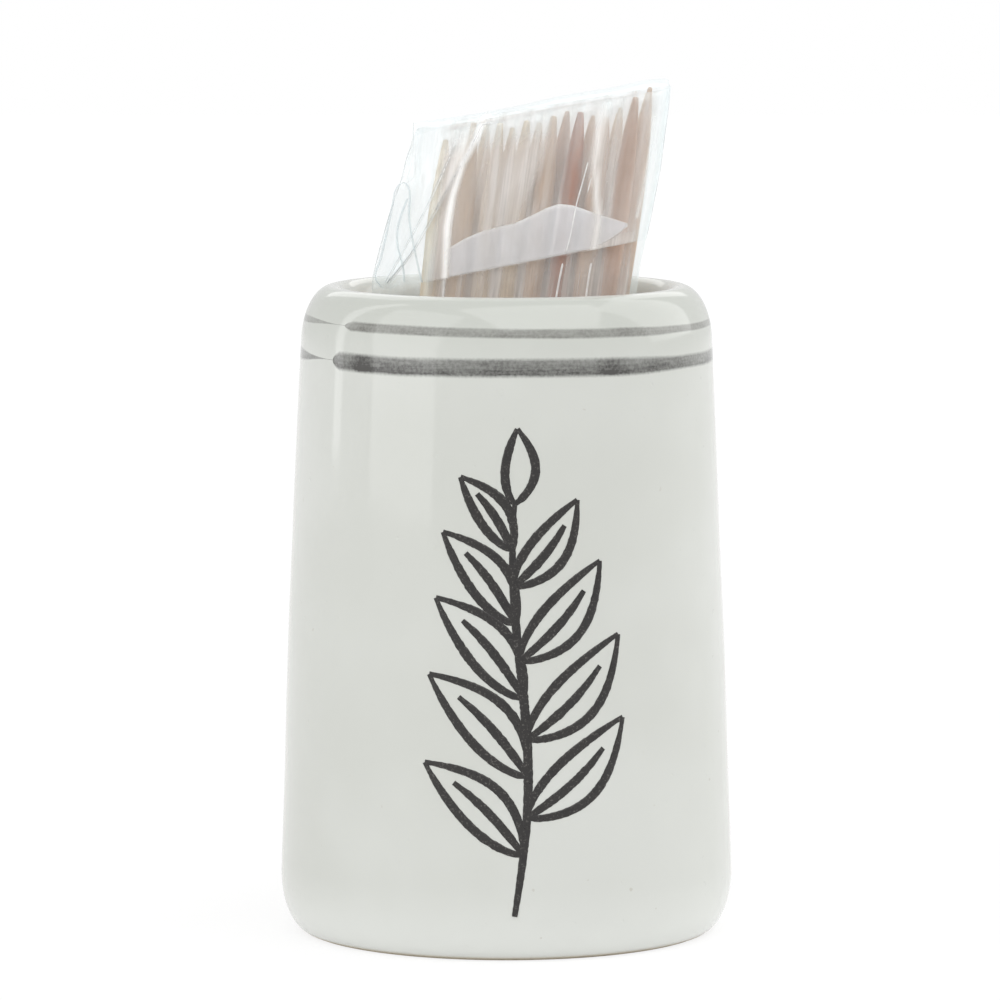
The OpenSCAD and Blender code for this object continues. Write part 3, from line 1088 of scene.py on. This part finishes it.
heights = FOOT_STEPS + [0.05 + 0.69 * n / LOW_STEPS for n in range(LOW_STEPS)]
heights += [HIGH_START + (1 - HIGH_START) * n / HIGH_STEPS for n in range(HIGH_STEPS + 1)]
pouch_rows = []
pouch_marks = {"veil_and_painted_light": [], "painted_wood_reflection": []}
for share in heights:
    z_left, z_right = (low + (high - low) * share for low, high in zip(POUCH_FOOT, POUCH_MOUTH))
    x_left = along_table(LEFT_EDGE, z_left)
    x_right = along_table(RIGHT_EDGE, z_right)
    closing = FOOT_CLOSE + (1 - FOOT_CLOSE) * min(1.0, share / 0.02) ** 0.6
    mouth = 1 - 0.05 * max(0.0, (share - 0.96) / 0.04)
    ring = []
    for front in (True, False):
        row_here, seed, slack = (FRONT_ROW, FRONT_SEED, 0.02) if front else (BACK_ROW, BACK_SEED, 0.04)
        shares = side_shares(RING_FRONT) if front else side_shares(RING_BACK)[::-1][1:-1]
        for p in shares:
            x = x_left + (x_right - x_left) * p
            z = z_left + (z_right - z_left) * p
            depth = film_depth(x, z, row_here)
            folds = crumple(x, z, seed)
            swell = folds * SWELL * (0.35 + 0.65 * clamped((z - RIM_START) / RIM_FADE))
            depth = (depth + swell * min(1.0, depth / 2)) * closing * mouth
            ring.append(Vector((x, -depth if front else depth, z)))
            bundle = over_bundle(x, z)
            # Painted light: the haze is raised on the front near the rim, where the picks lie in the
            # rim's shade, and between the picks, where the gaps are in shade.
            low = clamped((PAINTED_LIGHT_TOP - z) / PAINTED_LIGHT_FADE) if front else 0.0
            haze_and_painted_light = (0.03 + 0.2 * low + 0.2 * min(1.0, gap_to_pick(x, z, row_here)) ** 2) * bundle
            pouch_marks["veil_and_painted_light"].append(slack + haze_and_painted_light + 0.05 * folds)
            pouch_marks["painted_wood_reflection"].append(bundle)
    pouch_rows.append(ring)
pouch_sheet = sheet_object("pouch_film", pouch_rows, pouch_marks, True)

# %% [markdown]
# The foot is closed by faces between the front and the back of the lowest ring.

# %% Close the foot
work = bmesh.new()
work.from_mesh(pouch_sheet.data)
work.verts.ensure_lookup_table()
foot_count = len(pouch_rows[0])
open_edges = [edge for edge in work.edges if edge.is_boundary]
foot_edges = [edge for edge in open_edges if all(end.index < foot_count for end in edge.verts)]
bmesh.ops.holes_fill(work, edges=foot_edges, sides=0)
bmesh.ops.triangulate(work, faces=[face for face in work.faces if len(face.verts) > 4])
bmesh.ops.recalc_face_normals(work, faces=work.faces)
work.to_mesh(pouch_sheet.data)
work.free()
pouch = thicken(pouch_sheet, "pouch_film", FILM_THICKNESS, film_finish)
dress(pouch, "bag", "film", "bag_pouch")

# %% [markdown]
# The flap is the back of the bag, carried on over the tips as a roof, bent down in front and stuck
# there. It hinges along the fold at the back, so its film starts behind that fold, follows the bag
# there, and bends across it. The drawn lines below are as the camera sees them, across and up in
# millimetres. The strip's two edges are shares of its length and heights above the flap's foot.

# %% The flap's shape
FOLD_ANGLE = math.radians(11)
FOLD_START = Vector((-7.186, 3.82, 70.972))
ALONG_FOLD = Vector((math.cos(FOLD_ANGLE), 0, math.sin(FOLD_ANGLE)))
DOWN_PANEL = Vector((math.sin(FOLD_ANGLE), 0, -math.cos(FOLD_ANGLE)))
FLAP_ROOM = 0.36
BACK_ROOM = 0.16
LEFT_INSET, RIGHT_INSET = 0.04, 0.12
LINES_START = 0.7
CREASE_A = [(-3.6, 71.8), (-4.9, 68.35), (-6.95, 63.75), (-9.2, 59.6), (-10.5, 57.3)]
CREASE_B = [(-1.6, 72.15), (-3.5, 68.35), (-6.05, 63.9), (-8.25, 60.0), (-10.5, 57.2)]
RIGHT_FOLD = [(10.55, 62.4), (10.2, 61.85), (9.4, 61.05), (8.3, 60.25), (7.75, 59.3), (7.5, 58.3)]
SHINING_BAND = [(-1.65, 72.1), (-2.75, 69.65), (-3.8, 67.6), (-4.75, 64.7), (-5.15, 62.0), (-5.4, 57.2)]
FINE_LINE = [(7.15, 67.8), (6.6, 65.75), (6.15, 64.1), (5.6, 61.3), (4.95, 58.9), (4.4, 56.0)]
SHORT_LINE = [(7.45, 66.4), (7.1, 65.1)]
PALE_SHINING_BAND = [(8.75, 72.7), (8.15, 70.1), (7.75, 67.6), (7.9, 64.7), (8.1, 62.6), (7.8, 60.6), (7.1, 56.7)]
RIGHT_LINE = [(13.0, 71.7), (12.6, 68.7), (12.05, 65.7), (11.5, 63.0)]
FLAP_RIDGES = [
    (CREASE_A, 0.5, 0.75), (CREASE_B, 0.5, 0.75), (SHINING_BAND, 0.3, 0.6), (FINE_LINE, 0.14, 0.3),
    (PALE_SHINING_BAND, 0.1, 0.9), (RIGHT_LINE, 0.12, 0.4),
]
VEIL_BASE = 0.22
VEIL_PATCHES = [
    (0.9, 66.4, 1.3, 3.6, 0.42, 0.33), (-1.1, 66.5, 1.3, 3.6, 0.2, 0.2),
    (-2.7, 63.2, 0.8, 2.6, -0.2, 0.13), (2.3, 64.6, 0.62, 2.6, -0.22, 0.36),
    (5.2, 66.4, 1.7, 3.6, -0.21, 0.13), (10.7, 67.0, 1.3, 4.8, -0.17, 0.13),
    (6.7, 65.4, 0.45, 1.3, -0.1, 0.13), (8.9, 66.2, 0.75, 4.2, 0.16, 0.1),
    (-6.2, 62.0, 1.2, 7.0, 0.1, 0.13), (-0.6, 61.0, 2.6, 2.2, 0.1, 0.13),
    (7.2, 64.1, 1.3, 2.2, -0.14, 0.13), (10.0, 60.7, 1.7, 1.0, 0.5, 0.13),
]
# Painted highlights: lines and patches where the flap's film is painted white.
FLAP_SHINES = [(SHINING_BAND, 1.2, 0.5), (PALE_SHINING_BAND, 0.5, 0.7), (RIGHT_LINE, 0.5, 0.24)]
SHINE_PATCHES = [(-4.05, 68.7, 0.62, 2.6, 0.55, 0.4)]
STRIP_START = -0.3
STRIP_LENGTH = 16.1
STRIP_UPPER = [(0, 2.4), (0.12, 3.1), (0.24, 3.5), (0.4, 3.6), (0.5, 3.95), (0.58, 4.35), (0.66, 4.5),
               (0.73, 4.15), (0.8, 3.5), (0.88, 2.75), (0.95, 2.15), (1, 1.7)]
STRIP_LOWER = [(0, 0.08), (0.5, 0.08), (0.79, 0.12), (0.89, 0.6), (1, 1.45)]
TOP_BULGE = [
    (-0.7, 0.3), (1.4, 0.1), (3.7, -0.1), (7.4, -0.2), (9.6, -0.1), (11.9, 0.05), (13.9, 0.0),
    (15.6, -0.1), (17.1, -0.2), (18.2, -0.1), (19.6, -0.05), (20.9, -0.2), (21.6, -0.4), (22.2, -0.8),
]
FRONT_PROFILE = [(0.1, 0.04, 1), (0.5, -0.1, 0.8), (0.78, -0.42, 0.5), (0.94, -0.95, 0)]


def flat_point(u, w):
    """The point at u along the fold and w down from it, before the film's own depth."""
    return FOLD_START + ALONG_FOLD * u + DOWN_PANEL * w


def place_on_flap(point):
    """How far a point lies along the fold and down from it."""
    offset = point - FOLD_START
    return offset.dot(ALONG_FOLD), offset.dot(DOWN_PANEL)


def panel_point(u, w):
    """A point of the flap's panel, from its place along the fold and down from it."""
    flat = flat_point(u, w)
    depth = film_depth(flat.x, flat.z, FRONT_ROW) + FLAP_ROOM + FILM_THICKNESS
    x, z = apparent(Vector((flat.x, -depth, flat.z)))
    lift = 0.12 * crumple(flat.x, flat.z, 11.0)
    lift += sum(tall * ridge(line, x, z, width) for line, tall, width in FLAP_RIDGES)
    return Vector((flat.x, -(depth + lift), flat.z))


def panel_sides(w):
    """The flap's two edges at a distance down from the fold: they lie along the pouch's edges."""
    ends = []
    for table, x in ((LEFT_EDGE, -6), (RIGHT_EDGE, 12)):
        for _ in range(5):
            u = (x - FOLD_START.x - DOWN_PANEL.x * w) / ALONG_FOLD.x
            x = along_table(table, flat_point(u, w).z)
        ends.append(u)
    return ends[0] + LEFT_INSET, ends[1] - RIGHT_INSET


def flap_section(u):
    """The film's path at one place along the fold, from behind the fold to the panel's top."""
    base = FOLD_START + ALONG_FOLD * u
    deep = film_depth(base.x, base.z - 1.5, FRONT_ROW)
    back = min(BAG_DEPTH, film_depth(base.x, base.z - 1.5, BACK_ROW)) + BACK_ROOM
    front = deep + FLAP_ROOM + FILM_THICKNESS
    bulge = along_table(TOP_BULGE, u)
    profile = [(back, -0.75, 0), (back, -0.3, 0), (back - 0.25, 0.02, 0.5), (back * 0.5, 0.08, 1)]
    profile += [(-front * reach, rise, share) for reach, rise, share in FRONT_PROFILE]
    profile += [(-front + 0.04, -1.6, 0)]
    path = [Vector((base.x, y, base.z + rise + bulge * share)) for y, rise, share in profile]
    return smooth_path(path, 0.4)


def evenly(path, count):
    """The path again, as this many points at even distances."""
    lengths = [0.0]
    for start, end in zip(path, path[1:]):
        lengths.append(lengths[-1] + (end - start).length)
    even_path = []
    for n in range(count):
        goal = lengths[-1] * n / (count - 1)
        k = max(i for i in range(len(path)) if lengths[i] <= goal + 1e-9)
        k = min(k, len(path) - 2)
        even_path.append(path[k].lerp(path[k + 1], (goal - lengths[k]) / (lengths[k + 1] - lengths[k])))
    return even_path


# %% Flap
FLAP_COLUMNS = 180
FLAP_ROWS = 84
PANEL_TOP = 2.0
PANEL_FOOT = 13.25
ROOF_ROWS = 30


def over_strip(u, w):
    """Whether a place of the flap lies over the adhesive strip."""
    share = (u - STRIP_START) / STRIP_LENGTH
    above_foot = PANEL_FOOT - w
    low, high = along_table(STRIP_LOWER, share), along_table(STRIP_UPPER, share)
    return 0 < share < 1 and low <= above_foot < high


columns = [n / (FLAP_COLUMNS - 1) for n in range(FLAP_COLUMNS)]
fold_left, fold_right = panel_sides(0.6)
sections = [evenly(flap_section(fold_left + (fold_right - fold_left) * p), ROOF_ROWS) for p in columns]
flap_rows = [[section[n] for section in sections] for n in range(ROOF_ROWS)]
for n in range(FLAP_ROWS):
    w = PANEL_TOP + (PANEL_FOOT - PANEL_TOP) * n / (FLAP_ROWS - 1)
    left, right = panel_sides(w)
    flap_rows.append([panel_point(left + (right - left) * p, w) for p in columns])
flap_marks = {"veil_and_painted_light": [], "crease_shade_or_glue_edge": [], "painted_wood_reflection": [], "shine": []}
for line in flap_rows:
    for point in line:
        x, z = apparent(point)
        u, w = place_on_flap(point)
        on_front = 1.0 if point.y < 0 else 0.4
        below_top = clamped((w - 0.6) / 2.4)
        # The haze is part milky film and part painted light.
        haze_and_painted_light = max(0.03, VEIL_BASE + rough_patch(VEIL_PATCHES, x, z))
        haze_and_painted_light *= 0.25 if over_strip(u, w) else 1.0
        bundle = over_bundle(x, z)
        # Painted shade: the film is painted grey along the two long creases.
        painted_crease_shade = max(ridge(CREASE_A, x, z, 0.3), ridge(CREASE_B, x, z, 0.3)) * 0.3
        # Painted highlight: the film is painted white along the shining lines and patches.
        glint = max(strong * ridge(shining, x, z, width) for shining, strong, width in FLAP_SHINES)
        glint = max(glint, rough_patch(SHINE_PATCHES, x, z))
        flap_marks["veil_and_painted_light"].append(on_front * (0.02 + bundle * (haze_and_painted_light * (0.35 + 0.65 * below_top))))
        flap_marks["painted_wood_reflection"].append(bundle * below_top)
        flap_marks["shine"].append(on_front * glint)
        flap_marks["crease_shade_or_glue_edge"].append(on_front * painted_crease_shade)
flap_sheet = sheet_object("flap_film", flap_rows, flap_marks)
flap = thicken(flap_sheet, "flap_film", FILM_THICKNESS, film_finish)
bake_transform(flap)
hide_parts("bag_flap")
print("flap_film has", len(flap.data.polygons), "faces")

# %% [markdown]
# The adhesive strip is a milky band on the flap's inner side, along its free edge. Its upper edge
# wanders up to a peak and drops again. The film that lies over it has less haze of its own.

# %% Adhesive strip
# A faint painted glow: the band gives off light of its own colour.
GLUE_GLOW = 0.1
GLUE_THICKNESS = 0.05
STRIP_ROWS, STRIP_COLUMNS = 18, 96
adhesive = Finish("milky adhesive")
glue_place = adhesive.place()
glue_cloud = adhesive.cloud(adhesive.scaled(glue_place, (1.0, 1.0, 0.5)), 420.0, 3.0, 0.6)
glue_edge = adhesive.attribute("crease_shade_or_glue_edge")
glue_colour = adhesive.mix(paint(243, 245, 249), paint(254, 254, 254), glue_edge)
glue_sockets = {
    "Base Color": glue_colour,
    "Roughness": 0.38 + glue_cloud * 0.2,
    "Alpha": (0.48 + glue_cloud.fade(0.3, 0.7) * 0.12 + glue_edge * 0.3).clamp(),
    "Normal": adhesive.bump(glue_cloud, 0.00005, 0.5),
    "Emission Color": glue_colour,
    "Emission Strength": GLUE_GLOW,
}
glue_finish = adhesive.cover(glue_sockets)
strip_rows = []
strip_edge_marks = []
for j in range(STRIP_ROWS):
    line = []
    for i in range(STRIP_COLUMNS):
        p, q = i / (STRIP_COLUMNS - 1), j / (STRIP_ROWS - 1)
        low_edge = PANEL_FOOT - along_table(STRIP_LOWER, p)
        high_edge = PANEL_FOOT - along_table(STRIP_UPPER, p)
        w = high_edge + (low_edge - high_edge) * q
        point = panel_point(STRIP_START + STRIP_LENGTH * p, w)
        line.append(point + Vector((0, FILM_THICKNESS + 0.06, 0)))
        strip_edge_marks.append(max(0.0, 1 - min(q, 1 - q) / 0.08) * (1.0 if q < 0.5 else 0.4))
    strip_rows.append(line)
strip_sheet = sheet_object("adhesive_band", strip_rows, {"crease_shade_or_glue_edge": strip_edge_marks})
strip = thicken(strip_sheet, "adhesive_band", GLUE_THICKNESS, glue_finish)
dress(strip, "flap", "strip", "adhesive_strip")

# %% [markdown]
# Sharp folds and cut edges of the film show as fine lines, grey or white, and that shade and light
# are painted. Each is a bead of film along a drawn line, less than 0.2 mm thick, that lies on the
# sheet it belongs to: a grey bead is painted shade, a white one a painted highlight.

# %% Fold lines of the flap
BEAD = 0.035
THIN_BEAD = 0.022
WHITE_BEAD = 0.055
POUCH_BEAD = 0.09
LEFT_CUT_ROW = 12


def bead_finish(name, dull, bright, most, least):
    """A finish for fine lines, whose colour and alpha change along them."""
    line_film = Finish(name)
    patches = line_film.cloud(line_film.place(), 700.0)
    line_sockets = {
        "Base Color": line_film.mix(dull, bright, patches.fade(0.4, 0.65)),
        "Roughness": 0.25 + patches * 0.1,
        # A faint painted glow of the bead's bright colour.
        "Alpha": patches.fade(0.3, 0.7, most, least),
        "Emission Color": bright,
        "Emission Strength": 0.1,
    }
    return line_film.cover(line_sockets)


painted_dark_line = bead_finish("creased film", paint(172, 177, 180), paint(226, 229, 230), 0.55, 0.12)
white_line = bead_finish("shining crease", paint(250, 250, 249), paint(255, 255, 255), 0.85, 0.5)
LOOP_LINE = [(-8.8, 65.9), (-8.05, 66.6), (-8.0, 68.0), (-7.95, 68.5)]


def seen_on_front(line):
    """The points of a drawn line where the camera sees them on the front of the bundle."""
    path = smooth_path([Vector((x, 0, z)) for x, z in line])
    return [seen_at(point.x, point.z, -film_depth(point.x, point.z, FRONT_ROW)) for point in path]


def on_flap(line, lift=0.02):
    """A drawn line laid on the flap's front, down to the flap's foot."""
    places = [place_on_flap(point) for point in seen_on_front(line)]
    ahead = Vector((0, -lift, 0))
    return [panel_point(u, max(LINES_START, w)) + ahead for u, w in places if w < PANEL_FOOT]


def bead_object(name, paths, finish):
    """One piece of all the beads whose paths and radii are given."""
    points, faces = [], []
    for path, thick in paths:
        more, sides = bead_parts(path, thick)
        first = len(points)
        points += [point * MM for point in more]
        faces += [tuple(first + n for n in face) for face in sides]
    mesh = plain_mesh(name, points, faces=faces)
    mesh.materials.append(finish)
    mesh.shade_smooth()
    return add(name, mesh)


left_cut = [line[0] for line in flap_rows[LEFT_CUT_ROW::3]]
right_cut = [line[-1] for line in flap_rows[ROOF_ROWS::3]]
beside_a = [(x - 0.13, z) for x, z in CREASE_A[1:]]
beside_b = [(x + 0.14, z - 0.05) for x, z in CREASE_B]
bead_lines = [(on_flap(line), BEAD) for line in (CREASE_B, RIGHT_FOLD)]
bead_lines += [(on_flap(line), THIN_BEAD) for line in (beside_a, LOOP_LINE)]
bead_lines += [(line, THIN_BEAD) for line in (left_cut, right_cut)]
dress(bead_object("flap_painted_dark_lines", bead_lines, painted_dark_line), "flap", "film")
white_lines = [(on_flap(line), WHITE_BEAD) for line in (FINE_LINE, SHORT_LINE)]
white_lines += [(on_flap(line), BEAD) for line in (CREASE_A[1:], beside_b)]
dress(bead_object("flap_highlights", white_lines, white_line), "flap", "film")

# %% Shining folds of the pouch
# The pouch's shining folds are white beads: painted highlights.
POUCH_FOLDS = [
    [(4.95, 58.9), (4.4, 56.0), (3.7, 51.0)],
    [(7.45, 58.9), (7.1, 56.7), (6.4, 51.0)],
    [(-5.45, 57.5), (-5.7, 53.5)],
]


def on_pouch(line):
    """A drawn line laid on the pouch's front."""
    laid_path = []
    for flat in seen_on_front(line):
        swell = SWELL * crumple(flat.x, flat.z, FRONT_SEED)
        depth = film_depth(flat.x, flat.z, FRONT_ROW) + swell + 0.03
        laid_path.append(Vector((flat.x, -depth, flat.z)))
    return laid_path


pouch_lines = [(on_pouch(line), POUCH_BEAD) for line in POUCH_FOLDS]
dress(bead_object("pouch_highlights", pouch_lines, white_line), "bag", "film")

# %% [markdown]
# On the left the flap's cut edge is curled into a narrow loop. It is a ribbon of film that stands
# on its edge in front of the flap, so the camera sees it as a thin line.

# %% Curled edge
CURL_LIFT = 0.04
CURL_WIDTH = 0.55
CURL_THICKNESS = 0.035
LOOP = [
    (-10.6, 56.4), (-11.55, 57.7), (-11.1, 59.2), (-10.8, 60.4), (-10.1, 63.6), (-9.8, 65.25),
    (-9.4, 65.85), (-9.05, 66.0), (-8.65, 65.6), (-8.55, 64.6), (-8.6, 62.95), (-8.25, 60.7),
    (-7.6, 57.7), (-7.2, 56.6),
]
INNER_STRAND = [(-8.75, 64.6), (-9.5, 62.5), (-9.65, 60.7), (-9.15, 58.7), (-9.05, 57.3)]


def ribbon_lines(line):
    """The inner edge, the middle and the outer edge of a ribbon that stands on a line of the flap."""
    inner = on_flap(line, CURL_LIFT)
    outer = [point + Vector((0.16, -CURL_WIDTH, 0.03)) for point in inner]
    middle = [(near + far) / 2 + Vector((-0.05, 0, 0)) for near, far in zip(inner, outer)]
    return [inner, middle, outer]


for name, line in (("loop", LOOP), ("strand", INNER_STRAND)):
    ribbon = ribbon_lines(line)
    count = 3 * len(ribbon[0])
    # The curl is painted grey, as painted shade, with a little haze.
    marks = {"veil_and_painted_light": [0.16] * count, "crease_shade_or_glue_edge": [0.3] * count}
    curl = thicken(
        sheet_object("curl_" + name, ribbon, marks), "curled_edge_" + name, CURL_THICKNESS, film_finish
    )
    dress(curl, "flap", "film")
